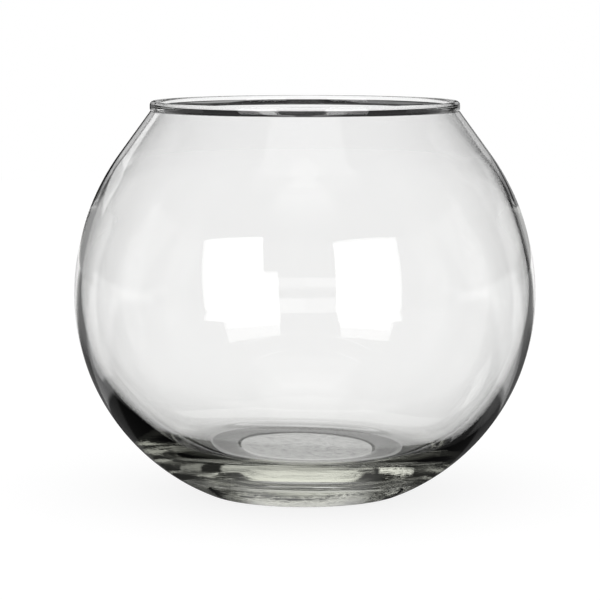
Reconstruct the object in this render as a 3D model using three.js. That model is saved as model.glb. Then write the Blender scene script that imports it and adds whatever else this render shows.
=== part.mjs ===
// A round glass vase: one hollow ball of clear glass with a wide mouth, a pressed lip,
// a thick solid floor and a flat ring to stand on.
// Millimetres, +Z up, with the origin at the middle of the ring that touches the table.

import * as THREE from 'three';

// Outside of the ball
const bellyRadius = 76;
const bellyHeight = 65.2;
const baseRadius = 33;
const heelRadius = 1.2;

// Shoulder and lip
const lipRadius = 50.8;
const lipStepHeight = 3;
const lipStepDepth = 0.35;
const lipThickness = 2.4;
const shoulderStraight = 17.4;
const totalHeight = 129;

// Wall and floor
const wallAtBelly = 2.3;
const wallAtShoulder = 1;
const evenWallUp = 29;
const floorHeight = 12;
const floorEdgeRadius = 43;
const floorCornerRadius = 34;

// Underside
const standRingInner = 23.4;
const recessDepth = 0.5;
const recessSlope = 0.9;

// Fineness of the solid
const turnSteps = 72;
const chordGap = 0.1;

// A stretch of a circle in the (radius, height) plane, from one angle to another, measured
// from the outward direction, with both ends. Its chords leave the circle by chordGap at most.
function arc(centre, radius, startAngle, endAngle) {
  const widestStep = 2 * Math.acos(1 - chordGap / radius);
  const steps = Math.max(2, Math.ceil(Math.abs(endAngle - startAngle) / widestStep));
  const points = [];
  for (let i = 0; i <= steps; i += 1) {
    const angle = THREE.MathUtils.lerp(startAngle, endAngle, i / steps);
    const x = centre.x + radius * Math.cos(angle);
    const y = centre.y + radius * Math.sin(angle);
    points.push(new THREE.Vector2(x, y));
  }
  return points;
}

function angleOf(point, centre) {
  return Math.atan2(point.y - centre.y, point.x - centre.x);
}

// The lower half outside is one circle through the belly, upright there, and the base edge.
const flankDrop = bellyRadius - baseRadius;
const lowerRadius = (flankDrop ** 2 + bellyHeight ** 2) / (2 * flankDrop);
const lowerCentre = new THREE.Vector2(bellyRadius - lowerRadius, bellyHeight);

// The upper half is a circle, upright at the belly, that runs on as a straight shoulder.
// With turn angle a, radius R and straight length s from belly (w inward, h upward):
// w = R (1 - cos a) + s sin a and h = R sin a + s cos a, so tan(a / 2) = w / (h + s).
const creaseHeight = totalHeight - lipStepHeight;
const shoulderIn = bellyRadius - (lipRadius - lipStepDepth);
const shoulderUp = creaseHeight - bellyHeight;
const shoulderTurn = 2 * Math.atan(shoulderIn / (shoulderUp + shoulderStraight));
const upperRadius = (shoulderUp - shoulderStraight * Math.cos(shoulderTurn)) / Math.sin(shoulderTurn);
const upperCentre = new THREE.Vector2(bellyRadius - upperRadius, bellyHeight);

// The heel rounds the edge between the flank and the ring that the vase stands on.
const heelReach = lowerRadius - heelRadius;
const heelCentre = new THREE.Vector2(
  lowerCentre.x + Math.sqrt(heelReach ** 2 - (bellyHeight - heelRadius) ** 2),
  heelRadius,
);
const flankStart = angleOf(heelCentre, lowerCentre);

// Underside: a shallow flat recess inside the flat ring, with a short sloping side.
const underside = [
  new THREE.Vector2(0, recessDepth),
  new THREE.Vector2(standRingInner - recessSlope, recessDepth),
  new THREE.Vector2(standRingInner, 0),
];

const heel = arc(heelCentre, heelRadius, -Math.PI / 2, flankStart);
const flank = arc(lowerCentre, lowerRadius, flankStart, 0);
const shoulder = arc(upperCentre, upperRadius, 0, shoulderTurn);

// The lip steps out from the shoulder, stands upright and closes over in a half circle.
const lipRound = lipThickness / 2;
const lipCentre = new THREE.Vector2(lipRadius - lipRound, totalHeight - lipRound);
const lipFoot = new THREE.Vector2(lipRadius, creaseHeight + lipStepDepth);
const crease = new THREE.Vector2(lipRadius - lipStepDepth, creaseHeight);
const lip = arc(lipCentre, lipRound, 0, Math.PI);

// The wall is even for a way up from the belly, thins up to where the straight shoulder
// starts, and is even above it.
const straightHeight = upperCentre.y + upperRadius * Math.sin(shoulderTurn);
function wallAt(height) {
  const share = THREE.MathUtils.smoothstep(height, bellyHeight + evenWallUp, straightHeight);
  return THREE.MathUtils.lerp(wallAtBelly, wallAtShoulder, share);
}

const insideShoulder = [];
for (const point of shoulder) {
  const angle = angleOf(point, upperCentre);
  const radius = upperRadius - wallAt(point.y);
  insideShoulder.push(new THREE.Vector2(
    upperCentre.x + radius * Math.cos(angle),
    upperCentre.y + radius * Math.sin(angle),
  ));
}
insideShoulder.reverse();
const neckWall = wallAt(creaseHeight);
const insideNeck = new THREE.Vector2(
  crease.x - neckWall * Math.cos(shoulderTurn),
  crease.y - neckWall * Math.sin(shoulderTurn),
);

// The lower inside is one circle too, upright at the belly and through the floor's edge,
// tighter than the outside, so that the glass thickens downward. A corner circle rolls
// inside it, touches it and ends level with the flat floor.
const cavityIn = bellyRadius - wallAtBelly - floorEdgeRadius;
const cavityRadius = (cavityIn ** 2 + (bellyHeight - floorHeight) ** 2) / (2 * cavityIn);
const cavityCentre = new THREE.Vector2(bellyRadius - wallAtBelly - cavityRadius, bellyHeight);
const cornerDrop = bellyHeight - floorHeight - floorCornerRadius;
const cornerCentre = new THREE.Vector2(
  cavityCentre.x + Math.sqrt((cavityRadius - floorCornerRadius) ** 2 - cornerDrop ** 2),
  bellyHeight - cornerDrop,
);
const cornerAtWall = angleOf(cornerCentre, cavityCentre);
const insideWall = arc(cavityCentre, cavityRadius, 0, cornerAtWall);
const corner = arc(cornerCentre, floorCornerRadius, cornerAtWall, -Math.PI / 2);
const floorMiddle = new THREE.Vector2(0, floorHeight);

// Stretches meet in a point that they share, which is kept once.
function joined(stretches) {
  const points = [];
  for (const point of stretches.flat()) {
    const last = points.at(-1);
    if (!last || last.distanceTo(point) > 1e-6) {
      points.push(point);
    }
  }
  points[0].x = 0;
  points.at(-1).x = 0;
  return points;
}

const outline = joined([
  underside, heel, flank, shoulder, [crease, lipFoot], lip,
  [insideNeck], insideShoulder, insideWall, corner, [floorMiddle],
]);

const clearGlass = new THREE.MeshStandardMaterial({
  name: 'clear_glass',
  color: 0xeef2ea,
  roughness: 0.03,
  metalness: 0,
  transparent: true,
  opacity: 0.35,
});

const vase = new THREE.Mesh(new THREE.LatheGeometry(outline, turnSteps), clearGlass);
vase.name = 'glass_vase';
vase.rotation.x = Math.PI / 2;

const group = new THREE.Group();
group.add(vase);

export default group;
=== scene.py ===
from math import cos, pi, radians, sin

import bpy
import numpy as np
from mathutils import Matrix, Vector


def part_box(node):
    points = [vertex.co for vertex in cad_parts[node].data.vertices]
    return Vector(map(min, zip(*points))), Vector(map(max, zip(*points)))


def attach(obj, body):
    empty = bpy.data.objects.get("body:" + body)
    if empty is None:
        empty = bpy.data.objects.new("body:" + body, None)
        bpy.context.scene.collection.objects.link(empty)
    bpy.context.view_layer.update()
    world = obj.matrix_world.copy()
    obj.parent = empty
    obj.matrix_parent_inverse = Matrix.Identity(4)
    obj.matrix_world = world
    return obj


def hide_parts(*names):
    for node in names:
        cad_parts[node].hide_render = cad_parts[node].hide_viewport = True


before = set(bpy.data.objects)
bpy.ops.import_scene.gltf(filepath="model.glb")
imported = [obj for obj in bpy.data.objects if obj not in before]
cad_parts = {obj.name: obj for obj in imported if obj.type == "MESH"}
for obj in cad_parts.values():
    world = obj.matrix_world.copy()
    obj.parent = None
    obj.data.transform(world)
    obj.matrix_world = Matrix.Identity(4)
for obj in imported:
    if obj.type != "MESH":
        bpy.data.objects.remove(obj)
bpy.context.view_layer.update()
mm = 0.001
degreesPerRadian = 180 / pi
print("frame loaded")


# One output socket of a node tree. Arithmetic on it adds Math nodes.
class Signal:
    def __init__(self, tree, socket=None):
        self.tree = tree
        self.socket = socket

    # Any node: its settings come first, then the values or links of its sockets.
    def make(self, kind, settings, sockets, out=0):
        made = self.tree.nodes.new(kind)
        for name, value in settings.items():
            setattr(made, name, value)
        for name, value in sockets.items():
            if isinstance(value, Signal):
                self.tree.links.new(value.socket, made.inputs[name])
            else:
                made.inputs[name].default_value = value
        return None if out is None else Signal(self.tree, made.outputs[out])

    # Another output of the same node.
    def sibling(self, out):
        return Signal(self.tree, self.socket.node.outputs[out])

    # A Math node on two values or signals.
    def math(self, operation, first, second=0.0):
        return self.make("ShaderNodeMath", {"operation": operation}, {0: first, 1: second})

    def __add__(self, other):
        return self.math("ADD", self, other)

    def __sub__(self, other):
        return self.math("SUBTRACT", self, other)

    def __mul__(self, other):
        return self.math("MULTIPLY", self, other)

    __radd__ = __add__
    __rmul__ = __mul__

    def __rsub__(self, other):
        return self.math("SUBTRACT", other, self)

    # Runs smoothly from 0 to 1 as the signal goes from low to high.
    def rise(self, low, high):
        return self.make(
            "ShaderNodeMapRange",
            {"interpolation_type": "SMOOTHSTEP"},
            {"Value": self, "From Min": low, "From Max": high},
        )

    # 1 between low and high, 0 outside, with edges that are soft wide.
    def within(self, low, high, soft):
        return self.rise(low - soft, low) * (1 - self.rise(high, high + soft))


# The profile of the glass, in millimetres. Height and greatest width come from the frame.
vase = {
    "bellyHeight": 65.2,
    "baseRadius": 33.0,
    "heelRadius": 1.2,
    "lipRadius": 50.8,
    "lipStepHeight": 3.0,
    "lipStepDepth": 0.35,
    "lipThickness": 2.4,
    "shoulderStraight": 17.4,
    "wallAtBelly": 2.3,
    "wallAtShoulder": 1.0,
    "evenWallUp": 29.0,
    "floorHeight": 12.0,
    "floorEdgeRadius": 43.0,
    "floorCornerRadius": 34.0,
    "standRingInner": 23.4,
    "recessDepth": 0.5,
    "recessSlope": 0.9,
    "ringCrown": 0.05,
    "ringBelow": 0.1,       # what is lower than this lies on the ring
    "crownGone": 3.0,
    "softness": 0.22,       # of every bend
    "rows": 380,
    "aroundSteps": 256,
}


# Points on a circle: centre plus radius times the cosine and sine of the angle.
def circlePoints(centre, radius, start, end, count=800):
    angle = np.linspace(start, end, count)
    return np.stack([centre[0] + radius * np.cos(angle), centre[1] + radius * np.sin(angle)], axis=1)


# The angle whose tangent is the point's height above the centre over its distance outward.
def angleOf(point, centre):
    return np.arctan2(point[1] - centre[1], point[0] - centre[0])


# The closed section of the glass from the middle of the underside, out and up over the lip,
# and down the inside to the middle of the floor, as radius and height.
def sectionOf(size, bellyRadius, totalHeight):
    bellyHeight = size["bellyHeight"]
    drop = bellyRadius - size["baseRadius"]
    lowerRadius = (drop ** 2 + bellyHeight ** 2) / (2 * drop)
    lowerCentre = np.array([bellyRadius - lowerRadius, bellyHeight])

    # The shoulder turns by a on a circle of radius R and runs on straight for s, so that
    # w = R (1 - cos a) + s sin a inward and h = R sin a + s cos a upward.
    creaseHeight = totalHeight - size["lipStepHeight"]
    crease = np.array([size["lipRadius"] - size["lipStepDepth"], creaseHeight])
    up = creaseHeight - bellyHeight
    straight = size["shoulderStraight"]
    turn = 2 * np.arctan((bellyRadius - crease[0]) / (up + straight))
    upperRadius = (up - straight * np.cos(turn)) / np.sin(turn)
    upperCentre = np.array([bellyRadius - upperRadius, bellyHeight])

    heel = size["heelRadius"]
    reach = lowerRadius - heel
    heelCentre = np.array([lowerCentre[0] + np.sqrt(reach ** 2 - (bellyHeight - heel) ** 2), heel])
    flankStart = angleOf(heelCentre, lowerCentre)

    # A flat recess and a short slope down to the flat ring.
    ring = size["standRingInner"]
    recess = size["recessDepth"]
    slope = size["recessSlope"]
    underside = np.array([[0.0, recess], [ring - slope, recess], [ring, 0.0]])

    lipRound = size["lipThickness"] / 2
    lipCentre = np.array([size["lipRadius"] - lipRound, totalHeight - lipRound])
    lipFoot = np.array([[size["lipRadius"], creaseHeight + size["lipStepDepth"]]])

    evenHeight = bellyHeight + size["evenWallUp"]
    straightHeight = bellyHeight + upperRadius * np.sin(turn)

    def wallAt(height):
        share = np.clip((height - evenHeight) / (straightHeight - evenHeight), 0, 1)
        share = share ** 2 * (3 - 2 * share)
        return size["wallAtBelly"] + (size["wallAtShoulder"] - size["wallAtBelly"]) * share

    shoulder = circlePoints(upperCentre, upperRadius, 0, turn)
    outward = (shoulder - upperCentre) / upperRadius
    insideShoulder = (shoulder - outward * wallAt(shoulder[:, 1:]))[::-1]
    neckInward = np.array([np.cos(turn), np.sin(turn)]) * wallAt(creaseHeight)

    # The lower inside: the wall, and a corner circle that touches both wall and flat floor.
    insideBelly = bellyRadius - size["wallAtBelly"]
    cavityIn = insideBelly - size["floorEdgeRadius"]
    cavityRadius = (cavityIn ** 2 + (bellyHeight - size["floorHeight"]) ** 2) / (2 * cavityIn)
    cavityCentre = np.array([insideBelly - cavityRadius, bellyHeight])
    corner = size["floorCornerRadius"]
    cornerDrop = bellyHeight - size["floorHeight"] - corner
    cornerOut = np.sqrt((cavityRadius - corner) ** 2 - cornerDrop ** 2)
    cornerCentre = cavityCentre + np.array([cornerOut, -cornerDrop])
    cornerAtWall = angleOf(cornerCentre, cavityCentre)

    points = np.vstack([
        underside,
        circlePoints(heelCentre, heel, -pi / 2, flankStart),
        circlePoints(lowerCentre, lowerRadius, flankStart, 0),
        shoulder,
        crease[None],
        lipFoot,
        circlePoints(lipCentre, lipRound, 0, pi),
        (crease - neckInward)[None],
        insideShoulder,
        circlePoints(cavityCentre, cavityRadius, 0, cornerAtWall),
        circlePoints(cornerCentre, corner, cornerAtWall, -pi / 2),
        np.array([[0.0, size["floorHeight"]]]),
    ])
    points[:, 1] += crownOf(points, ring, heelCentre[0], size)
    return softened(points, size["softness"], size["rows"])


# The flat ring is pressed with a slight crown: it rises by the square of the distance from
# its middle, up to the crown at both edges, and the lift dies out with height.
def crownOf(points, ringFrom, ringTo, size):
    radius = points[:, 0]
    height = points[:, 1]
    middle = (ringFrom + ringTo) / 2
    onRing = height < size["ringBelow"]
    outward = np.clip((radius - middle) / (ringTo - middle), 0, 1)
    inward = np.clip((middle - radius) / (middle - ringFrom), 0, 1) * onRing
    fade = np.clip(1 - height / size["crownGone"], 0, 1)
    return size["ringCrown"] * (outward ** 2 + inward ** 2) * fade


# The outline walked in short even steps, with each point at the weighted mean of its
# surroundings (a bell curve of the given softness), so that every bend is a small round.
# Then the rows that are kept: each spans an equal sum of length and of turn.
def softened(points, softness, rows):
    stepsPerSoftness = 5
    reach = 4 * stepsPerSoftness
    fullTurnAsLength = 320.0
    step = softness / stepsPerSoftness
    walked = np.r_[0, np.cumsum(np.hypot(*np.diff(points, axis=0).T))]
    even = np.linspace(0, walked[-1], int(walked[-1] / step))
    line = np.stack([np.interp(even, walked, points[:, axis]) for axis in (0, 1)], axis=1)
    weight = np.exp(-0.5 * (np.arange(-reach, reach + 1) / stepsPerSoftness) ** 2)
    weight = weight / weight.sum()
    mirror = np.array([-1, 1])
    wide = np.vstack([line[reach:0:-1] * mirror, line, line[-2:-reach - 2:-1] * mirror])
    soft = np.stack([np.convolve(wide[:, axis], weight, mode="valid") for axis in (0, 1)], axis=1)
    heading = np.unwrap(np.arctan2(*np.gradient(soft, axis=0).T[::-1]))
    turned = np.abs(np.gradient(heading)) / (2 * pi)
    spent = np.cumsum(turned * fullTurnAsLength + even[1])
    chosen = np.interp(np.linspace(spent[0], spent[-1], rows), spent, even)
    kept = np.stack([np.interp(chosen, even, soft[:, axis]) for axis in (0, 1)], axis=1)
    kept[[0, -1], 0] = 0.0
    return kept


# How far the real glass strays from a true turned body: the floor inside is lower on the
# right by a small tilt, in degrees, and the inside wall is wavy. Heights and waves are in
# millimetres. Each wave has its count round the glass, its rise for one radian, its phase
# and its share.
uneven = {
    "floorTilt": 0.9,
    "tiltEven": 14.0,
    "tiltGone": 52.0,
    "wave": 0.013,
    "waveFrom": 10.0,
    "waveTo": 112.0,
    "waveFade": 12.0,
    "waves": ((5, 9.0, 0.7, 1.0), (9, -6.0, 2.1, 0.8), (2, 4.4, 4.0, 0.9)),
}


# The change of the inside surface at an angle and a height: outward by the sum of sine
# waves that run round and up, and down by the tangent of the tilt times x.
def strayOf(angle, radius, height, inside):
    fade = np.clip((uneven["tiltGone"] - height) / (uneven["tiltGone"] - uneven["tiltEven"]), 0, 1)
    fade = fade ** 2 * (3 - 2 * fade)
    down = np.tan(radians(uneven["floorTilt"])) * radius * np.cos(angle) * fade * inside
    waves = 0.0
    for count, riseForRadian, phase, share in uneven["waves"]:
        waves = waves + share * np.sin(count * angle + height / riseForRadian + phase)
    low = np.clip((height - uneven["waveFrom"]) / uneven["waveFade"], 0, 1)
    high = np.clip((uneven["waveTo"] - height) / uneven["waveFade"], 0, 1)
    out = uneven["wave"] * waves * low * high * inside
    return out, -down


# The section turned about the axis: radius times cosine and sine of the angle, with the two
# points on the axis kept once and closed by fans. The inside, which the section reaches
# after its highest point, strays as the real glass does.
def turnedMesh(name, section, steps):
    angle = np.linspace(0, 2 * pi, steps, endpoint=False)[:, None]
    inside = np.arange(len(section)) > np.argmax(section[:, 1])
    out, lift = strayOf(angle, section[:, 0], section[:, 1], inside)
    radius = (section[:, 0] + out)[:, 1:-1] * mm
    height = (section[:, 1] + lift)[:, 1:-1] * mm
    rows = len(section) - 2
    body = np.stack([radius * np.cos(angle), radius * np.sin(angle), height], axis=-1).reshape(-1, 3)
    ends = np.array([[0, 0, section[0, 1] * mm], [0, 0, section[-1, 1] * mm]])
    here = (np.arange(steps) * rows)[:, None]
    there = np.roll(here, -1, axis=0)
    up = np.arange(rows - 1)
    quads = np.stack([here + up, there + up, there + up + 1, here + up + 1], axis=-1).reshape(-1, 4)
    outsideEnd = np.full((steps, 1), steps * rows)
    insideEnd = outsideEnd + 1
    underFan = np.hstack([outsideEnd, there, here])
    floorFan = np.hstack([insideEnd, here + rows - 1, there + rows - 1])
    faces = quads.tolist() + underFan.tolist() + floorFan.tolist()
    mesh = bpy.data.meshes.new(name)
    mesh.from_pydata(np.vstack([body, ends]), [], faces)
    mesh.polygons.foreach_set("use_smooth", np.ones(len(mesh.polygons), dtype=bool))
    mesh.update()
    piece = bpy.data.objects.new(name, mesh)
    bpy.context.scene.collection.objects.link(piece)
    return piece


low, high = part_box("glass_vase")
bellyRadius = (high[0] - low[0]) / 2 / mm
totalHeight = high[2] / mm
vasePiece = turnedMesh("vase_body", sectionOf(vase, bellyRadius, totalHeight), vase["aroundSteps"])
print("vase turned")

# Clear soda-lime glass with a faint yellow-green tint in depth. Sizes are in metres, and the
# heights of the relief in millimetres: streaks that run round the lower body, soft waves of
# the whole surface and a fine pressed grain in the recess under the floor. The recess has a
# mottled painted shade in its colour, and the ring that the vase stands on is worn rough in
# patches and darkened there with painted shade.
glass = {
    "ior": 1.52,
    "depthColour": (0.968, 0.980, 0.87, 1.0),
    "depthDensity": 10.0,
    "streakThick": 0.0011,
    "streakLong": 0.12,
    "streakHeight": 0.034,
    "streakEven": 0.0088,
    "streakTop": 0.022,
    "waveLong": 0.022,
    "waveHeight": 0.010,
    "grainSize": 0.0022,
    "grainHeight": 0.050,
    "grainFade": 0.002,
    "recessRadius": 0.0224,
    "recessFrom": 0.0006,
    "recessTo": 0.0009,
    "mottleSize": 0.002857,
    "mottleFrom": 0.45,
    "mottleTo": 0.7,
    "mottleFade": 0.004,
    "recessPaintedShade": 0.35,
    "wornFrom": 0.0232,
    "wornTo": 0.0328,
    "wornEdge": 0.0002,
    "wornUp": 0.0001,
    "wornGone": 0.0003,
    "patchSize": 0.002,
    "patchLeast": 0.7,
    "patchSpan": 0.6,
    "wornRoughness": 0.16,
    "wornPaintedShade": 0.5,
}


# The place on a piece, its distance from the axis, which is the root of x x + y y, and its
# height.
def placeOf(start):
    place = start.make("ShaderNodeTexCoord", {}, {}, out="Object")
    x = start.make("ShaderNodeSeparateXYZ", {}, {0: place})
    y = x.sibling("Y")
    return place, start.math("SQRT", x * x + y * y), x.sibling("Z")


# Noise whose cells are as wide as the given size, which is 1 over its scale.
def noise(start, place, size, detail):
    return start.make("ShaderNodeTexNoise", {}, {"Vector": place, "Scale": 1 / size, "Detail": detail})


# 1 in the recess under the floor and 0 elsewhere, with a fade of the given width at its rim.
def recessOf(fromAxis, height, fade):
    inRecess = 1 - fromAxis.rise(glass["recessRadius"] - fade, glass["recessRadius"])
    return (1 - height.rise(glass["recessFrom"], glass["recessTo"])) * inRecess


# The relief in millimetres: noise that is squeezed along the axis, so that it lies in rings,
# times a share that falls with height, and two even noises.
def reliefOf(start):
    place, fromAxis, height = placeOf(start)
    flat = 1 / glass["streakLong"]
    squeeze = (flat, flat, 1 / glass["streakThick"])
    squeezed = start.make("ShaderNodeVectorMath", {"operation": "MULTIPLY"}, {0: place, 1: squeeze})
    streak = noise(start, squeezed, size=1.0, detail=2.0)
    low = 1 - height.rise(glass["streakEven"], glass["streakTop"])
    wave = noise(start, place, glass["waveLong"], detail=0.0)
    grain = noise(start, place, glass["grainSize"], detail=3.0)
    return (
        streak * low * glass["streakHeight"]
        + wave * glass["waveHeight"]
        + grain * recessOf(fromAxis, height, glass["grainFade"]) * glass["grainHeight"]
    )


# The underside: the roughness of the worn ring, which is the wear times its full roughness,
# and how much light passes, which is 1 less the painted shade of the ring and of the mottled
# recess.
def wearAndPaintedShadeOf(start):
    place, fromAxis, height = placeOf(start)
    ring = fromAxis.within(glass["wornFrom"], glass["wornTo"], glass["wornEdge"])
    ring = ring * (1 - height.rise(glass["wornUp"], glass["wornGone"]))
    patches = noise(start, place, glass["patchSize"], detail=3.0)
    ringWearAndShade = ring * (patches * glass["patchSpan"] + glass["patchLeast"])
    mottle = noise(start, place, glass["mottleSize"], detail=4.0)
    mottle = mottle.rise(glass["mottleFrom"], glass["mottleTo"])
    mottledPaintedShade = recessOf(fromAxis, height, glass["mottleFade"]) * mottle
    # Painted shade: the ring and the mottled recess are darkened in the glass's colour, standing in
    # for the shade under the foot.
    paintedShadePassing = 1 - ringWearAndShade * glass["wornPaintedShade"] - mottledPaintedShade * glass["recessPaintedShade"]
    return ringWearAndShade * glass["wornRoughness"], paintedShadePassing


# Rays of light bend and mirror in the glass and are dimmed by its depth. A shadow ray passes
# straight through, so that the table under the vase stays light.
def clearGlass():
    material = bpy.data.materials.new("clear_glass")
    material.use_nodes = True
    tree = material.node_tree
    tree.nodes.clear()
    start = Signal(tree)
    relief = start.make("ShaderNodeBump", {}, {
        "Height": reliefOf(start),
        "Distance": mm,
        "Strength": 1.0,
    })
    # The roughness is the real wear of the ring. The Base Color carries the painted shade of the ring
    # and the recess.
    roughness, paintedShadePassing = wearAndPaintedShadeOf(start)
    body = start.make("ShaderNodeBsdfPrincipled", {}, {
        "Base Color": paintedShadePassing,
        "Roughness": roughness,
        "IOR": glass["ior"],
        "Transmission Weight": 1.0,
        "Normal": relief,
    })
    clear = start.make("ShaderNodeBsdfTransparent", {}, {})
    isShadow = start.make("ShaderNodeLightPath", {}, {}, out="Is Shadow Ray")
    surface = start.make("ShaderNodeMixShader", {}, {0: isShadow, 1: body, 2: clear})
    depth = start.make("ShaderNodeVolumeAbsorption", {}, {
        "Color": glass["depthColour"],
        "Density": glass["depthDensity"],
    })
    start.make("ShaderNodeOutputMaterial", {}, {"Surface": surface, "Volume": depth}, out=None)
    return material


# The camera stands a little above the rim and looks slightly down. Its distance, height and
# lens are in millimetres, its tilt downwards in degrees, and what it clips in metres.
camera = {
    "sensor": 36,
    "distance": 854.2,
    "height": 162.5,
    "downwards": 6.629,
    "lens": 156.03,
    "shiftX": -0.00817,
    "clipNear": 0.01,
    "clipFar": 50,
}


# The camera looks along y at the vase, with its tilt taken from 90 degrees about x.
def setCamera():
    data = bpy.data.cameras.new("camera")
    data.sensor_width = camera["sensor"]
    data.lens = camera["lens"]
    data.shift_x = camera["shiftX"]
    data.clip_start = camera["clipNear"]
    data.clip_end = camera["clipFar"]
    stand = bpy.data.objects.new("camera", data)
    stand.location = (0, -camera["distance"] * mm, camera["height"] * mm)
    stand.rotation_euler = (radians(90 - camera["downwards"]), 0, 0)
    bpy.context.scene.collection.objects.link(stand)
    bpy.context.scene.camera = stand


# What the glass sees round it, by azimuth from straight ahead (positive to the right) and
# elevation in degrees. What shows straight through is a white sweep, up to sweepTop. The
# wall above it is nearly dark, with two narrow light strips that break the dark lines of the
# rim: azimuth from and to, softness of the edges, level. What the glass mirrors is a dark
# room with bright panels: azimuth from and to, elevation from and to, softness, level.
surround = {
    "plainLevel": 0.7,
    "sweepTop": 5.5,
    "sweepSoft": 3.0,
    "aboveSweep": 0.03,
    "strips": {
        "stripLeft": (-1.75, -1.2, 0.12, 0.3),
        "stripRight": (0.9, 1.5, 0.2, 0.16),
    },
    "roomLevel": 0.018,
    "panels": {
        "ceiling": (-42.0, 36.0, 56.0, 120.0, 8.0, 0.6),
        "ceilingRound": (-200.0, 200.0, 76.0, 120.0, 6.0, 0.5),
        "ceilingBehindLeft": (-200.0, -138.0, 56.0, 76.0, 6.0, 0.45),
        "ceilingBehindRight": (138.0, 200.0, 56.0, 76.0, 6.0, 0.45),
        "upperSheet": (-21.0, 19.0, 25.0, 56.0, 2.0, 0.8),
        "lowSheet": (-22.0, 24.0, 5.0, 11.0, 2.0, 0.5),
        "horizonLeft": (-33.0, -18.0, -8.0, 6.0, 2.0, 0.28),
        "horizonRight": (9.0, 24.0, -8.0, 1.0, 2.0, 0.42),
        "cardLeft": (-42.0, -26.0, 10.0, 17.0, 1.5, 1.0),
        "cardRight": (36.0, 50.0, 3.0, 17.0, 2.0, 0.25),
        "shoulderLeft": (-60.0, -36.0, 16.0, 24.0, 3.0, 0.08),
        "shoulderRight": (36.0, 60.0, 16.0, 24.0, 3.0, 0.05),
        "rimLeft": (-100.0, -50.0, -8.0, 0.0, 1.0, 0.4),
        "rimRight": (50.0, 100.0, -8.0, 0.0, 1.0, 0.4),
        "farBehindLeft": (-200.0, -145.0, -8.0, 3.0, 2.0, 1.0),
        "farBehindRight": (145.0, 200.0, -8.0, 3.0, 2.0, 0.8),
    },
}


# 1 where the azimuth and elevation lie in a panel, times its level, summed over the panels.
def panelLight(azimuth, elevation):
    total = surround["roomLevel"]
    for azimuthFrom, azimuthTo, low, high, soft, level in surround["panels"].values():
        inPanel = azimuth.within(azimuthFrom, azimuthTo, soft) * elevation.within(low, high, soft)
        total = inPanel * level + total
    return total


# By glass is 1 for a mirrored or bent ray, and mirrored is 1 for a ray that has been mirrored
# at least once on its way.
def rayKinds(start):
    isCamera = start.make("ShaderNodeLightPath", {}, {}, out="Is Camera Ray")
    isGlossy = isCamera.sibling("Is Glossy Ray")
    isBent = isCamera.sibling("Is Transmission Ray")
    byGlass = start.math("MAXIMUM", isGlossy, isBent)
    mirrored = start.math("MINIMUM", isCamera.sibling("Glossy Depth"), 1.0)
    return isCamera, byGlass, mirrored


# The camera sees white. By glass, the level is mirrored times the panels' light plus the rest
# times the sweep. All other rays find the plain level.
def setWorld():
    world = bpy.data.worlds.new("studio")
    world.use_nodes = True
    bpy.context.scene.world = world
    tree = world.node_tree
    tree.nodes.clear()
    start = Signal(tree)
    direction = start.make("ShaderNodeTexCoord", {}, {}, out="Generated")
    x = start.make("ShaderNodeSeparateXYZ", {}, {0: direction})
    azimuth = start.math("ARCTAN2", x, x.sibling("Y")) * degreesPerRadian
    elevation = start.math("ARCSINE", x.sibling("Z")) * degreesPerRadian
    isCamera, byGlass, mirrored = rayKinds(start)
    above = elevation.rise(surround["sweepTop"], surround["sweepTop"] + surround["sweepSoft"])
    wall = surround["aboveSweep"]
    for azimuthFrom, azimuthTo, soft, stripLevel in surround["strips"].values():
        wall = azimuth.within(azimuthFrom, azimuthTo, soft) * stripLevel + wall
    through = 1 - above * (1 - wall)
    level = mirrored * panelLight(azimuth, elevation) + (1 - mirrored) * through
    seen = byGlass * level + (1 - byGlass) * surround["plainLevel"]
    strength = isCamera + (1 - isCamera) * seen
    sky = start.make("ShaderNodeBackground", {}, {"Color": (1, 1, 1, 1), "Strength": strength})
    start.make("ShaderNodeOutputWorld", {}, {"Surface": sky}, out=None)


# A table top that the camera sees white all over, mostly by its own brightness, so that the
# shadow of the vase stays faint. Straight through the glass, a light shade of contact lies
# round the foot. Mirrored in the glass it is white paper ahead, a bright patch in front of
# the foot, a soft light at both sides, the glare of the soft boxes far in front (azimuth from
# and to), and dim elsewhere. Distances are in metres and angles in degrees.
table = {
    "below": 0.0003,
    "radius": 1.5,
    "steps": 96,
    "shadowShare": 0.25,
    "ownLevel": 0.83,
    "contactTo": 0.05,
    "contactSoft": 0.015,
    "contactLevel": 0.56,
    "insideTo": 0.0235,
    "insideSoft": 0.001,
    "insideLevel": 0.72,
    "paperLeft": -26.0,
    "paperRight": 25.0,
    "paperTurnSoft": 3.0,
    "paperFrom": 0.28,
    "paperSoft": 0.03,
    "paperLevel": 0.95,
    "paperNearLevel": 0.4,
    "frontHalf": 22.0,
    "frontTurnSoft": 20.0,
    "frontTo": 0.035,
    "frontSoft": 0.045,
    "frontLevel": 0.7,
    "sidesFrom": 53.0,
    "sidesTo": 76.0,
    "sidesTurnSoft": 6.0,
    "sidesLevel": 0.4,
    "nearSidesLevel": 0.06,
    "nearTo": 0.125,
    "nearSoft": 0.01,
    "gapLevel": 0.12,
    "dimLevel": 0.02,
    "glareFrom": 0.55,
    "glareSoft": 0.04,
    "glareTurnSoft": 0.5,
    "glareLevel": 2.2,
    "glares": {"left": (-46.5, -17.8), "right": (15.5, 45.0)},
}


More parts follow.
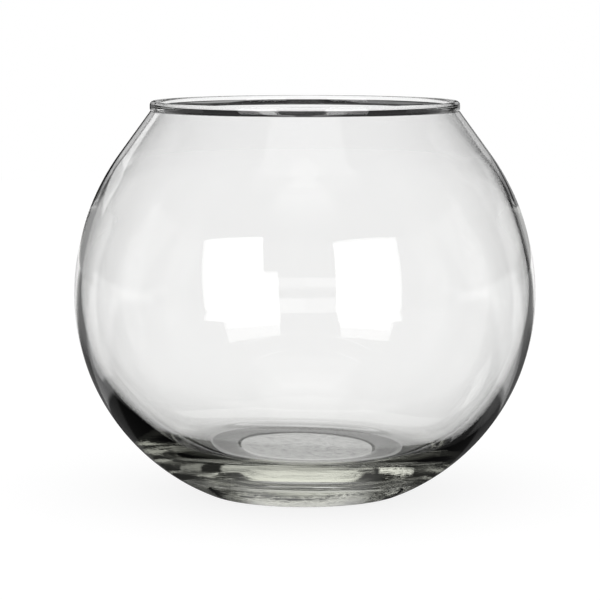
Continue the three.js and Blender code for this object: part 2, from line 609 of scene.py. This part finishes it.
# The table in the glass's mirror: the greatest of paper, front patch and dim rest, each its
# share times its level, plus the glare. Ahead is the azimuth from straight ahead and front
# the azimuth from the camera's side, both positive to the right.
def mirroredTable(start, place, away):
    x = start.make("ShaderNodeSeparateXYZ", {}, {0: place})
    y = x.sibling("Y")
    ahead = start.math("ARCTAN2", x, y) * degreesPerRadian
    front = start.math("ARCTAN2", x, y * -1) * degreesPerRadian
    onPaper = ahead.within(table["paperLeft"], table["paperRight"], table["paperTurnSoft"])
    paper = onPaper * away.rise(table["paperFrom"] - table["paperSoft"], table["paperFrom"])
    inFront = front.within(-table["frontHalf"], table["frontHalf"], table["frontTurnSoft"])
    patch = inFront * (1 - away.rise(table["frontTo"], table["frontTo"] + table["frontSoft"]))
    aside = start.math("ABSOLUTE", ahead)
    sides = aside.within(table["sidesFrom"], table["sidesTo"], table["sidesTurnSoft"])
    outer = onPaper * (table["paperNearLevel"] - table["gapLevel"]) + table["gapLevel"]
    outer = outer + sides * (table["sidesLevel"] - table["gapLevel"])
    dim = away.rise(table["nearTo"] - table["nearSoft"], table["nearTo"]) * outer
    dim = dim + sides * table["nearSidesLevel"] + table["dimLevel"]
    bright = start.math("MAXIMUM", paper * table["paperLevel"], patch * table["frontLevel"])
    glare = 0.0
    for turnFrom, turnTo in table["glares"].values():
        glare = front.within(turnFrom, turnTo, table["glareTurnSoft"]) + glare
    glare = glare * away.rise(table["glareFrom"], table["glareFrom"] + table["glareSoft"])
    return glare * table["glareLevel"] + start.math("MAXIMUM", dim, bright)


# The painted shade of contact on the table right under the glass: the contact level, and
# inside the ring that the vase stands on the inside level.
def paintedContactShadeUnderGlass(away):
    inside = 1 - away.rise(table["insideTo"], table["insideTo"] + table["insideSoft"])
    return inside * (table["insideLevel"] - table["contactLevel"]) + table["contactLevel"]


# Plain is a share of the light that falls on the table plus its own brightness. Seen through
# the glass it turns into a painted shade of contact round the foot, and in the glass's mirror
# into the mirrored table.
def whiteTable():
    material = bpy.data.materials.new("table_white")
    material.use_nodes = True
    tree = material.node_tree
    tree.nodes.clear()
    start = Signal(tree)
    place, away = placeOf(start)[:2]
    byGlass, mirrored = rayKinds(start)[1:]
    share = table["shadowShare"]
    lit = start.make("ShaderNodeBsdfDiffuse", {}, {"Color": (share, share, share, 1)})
    own = start.make("ShaderNodeEmission", {}, {"Strength": table["ownLevel"]})
    plain = start.make("ShaderNodeAddShader", {}, {0: lit, 1: own})
    # Painted contact shadow: near the foot, seen through the glass, the table's own brightness drops
    # to a set level.
    contact = 1 - away.rise(table["contactTo"] - table["contactSoft"], table["contactTo"])
    under = start.make("ShaderNodeEmission", {}, {"Strength": paintedContactShadeUnderGlass(away)})
    seen = start.make("ShaderNodeMixShader", {}, {0: byGlass * contact, 1: plain, 2: under})
    level = mirroredTable(start, place, away)
    inMirror = start.make("ShaderNodeEmission", {}, {"Strength": level})
    surface = start.make("ShaderNodeMixShader", {}, {0: byGlass * mirrored, 1: seen, 2: inMirror})
    start.make("ShaderNodeOutputMaterial", {}, {"Surface": surface}, out=None)
    return material


# A flat disc just below the vase: radius times the cosine and sine of the angle.
def tableTop():
    angle = np.linspace(0, 2 * pi, table["steps"], endpoint=False)
    rim = np.stack([np.cos(angle), np.sin(angle), np.zeros_like(angle)], axis=1) * table["radius"]
    rim[:, 2] = -table["below"]
    mesh = bpy.data.meshes.new("table_top")
    mesh.from_pydata(rim, [], [list(range(table["steps"]))])
    mesh.materials.append(whiteTable())
    top = bpy.data.objects.new("table_top", mesh)
    bpy.context.scene.collection.objects.link(top)


# Soft boxes that face a point on the vase's axis: the distance from it and its height in
# metres, and the radiance. Each box has its azimuth from the camera's side (positive to the
# right), elevation and roll in degrees, and its width and height in metres.
softBoxes = {
    "away": 1.4,
    "aimHeight": 0.06,
    "level": 2.8,
    "boxes": {
        "boxLeft": {"azimuth": -34.8, "elevation": 9.0, "roll": 9.5, "wide": 0.75, "high": 1.05},
        "boxRight": {"azimuth": 31.0, "elevation": 8.2, "roll": -2.5, "wide": 0.80, "high": 1.10},
    },
}


# A lamp of radiance L and area A has the power pi L A. It stands at the cosine and sine of
# its azimuth and elevation, times its distance.
def addSoftBox(name, box):
    data = bpy.data.lights.new(name, "AREA")
    data.shape = "RECTANGLE"
    data.size = box["wide"]
    data.size_y = box["high"]
    data.energy = pi * softBoxes["level"] * box["wide"] * box["high"]
    lamp = bpy.data.objects.new(name, data)
    turn = radians(box["azimuth"])
    tilt = radians(box["elevation"])
    flat = softBoxes["away"] * cos(tilt)
    up = softBoxes["aimHeight"] + softBoxes["away"] * sin(tilt)
    lamp.location = (flat * sin(turn), -flat * cos(turn), up)
    facing = Matrix.Rotation(turn, 3, "Z") @ Matrix.Rotation(pi / 2 - tilt, 3, "X")
    lamp.rotation_euler = (facing @ Matrix.Rotation(radians(box["roll"]), 3, "Z")).to_euler()
    lamp.visible_camera = False
    bpy.context.scene.collection.objects.link(lamp)


vasePiece.data.materials.append(clearGlass())
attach(vasePiece, "root")
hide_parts("glass_vase")
setCamera()
setWorld()
tableTop()
for boxName, box in softBoxes["boxes"].items():
    addSoftBox(boxName, box)
scene = bpy.context.scene
scene.view_settings.view_transform = "Standard"
mostBounces = 12
scene.cycles.max_bounces = mostBounces
scene.cycles.transmission_bounces = mostBounces
scene.cycles.glossy_bounces = mostBounces
scene.cycles.caustics_reflective = False
scene.cycles.caustics_refractive = False
print("stage set")
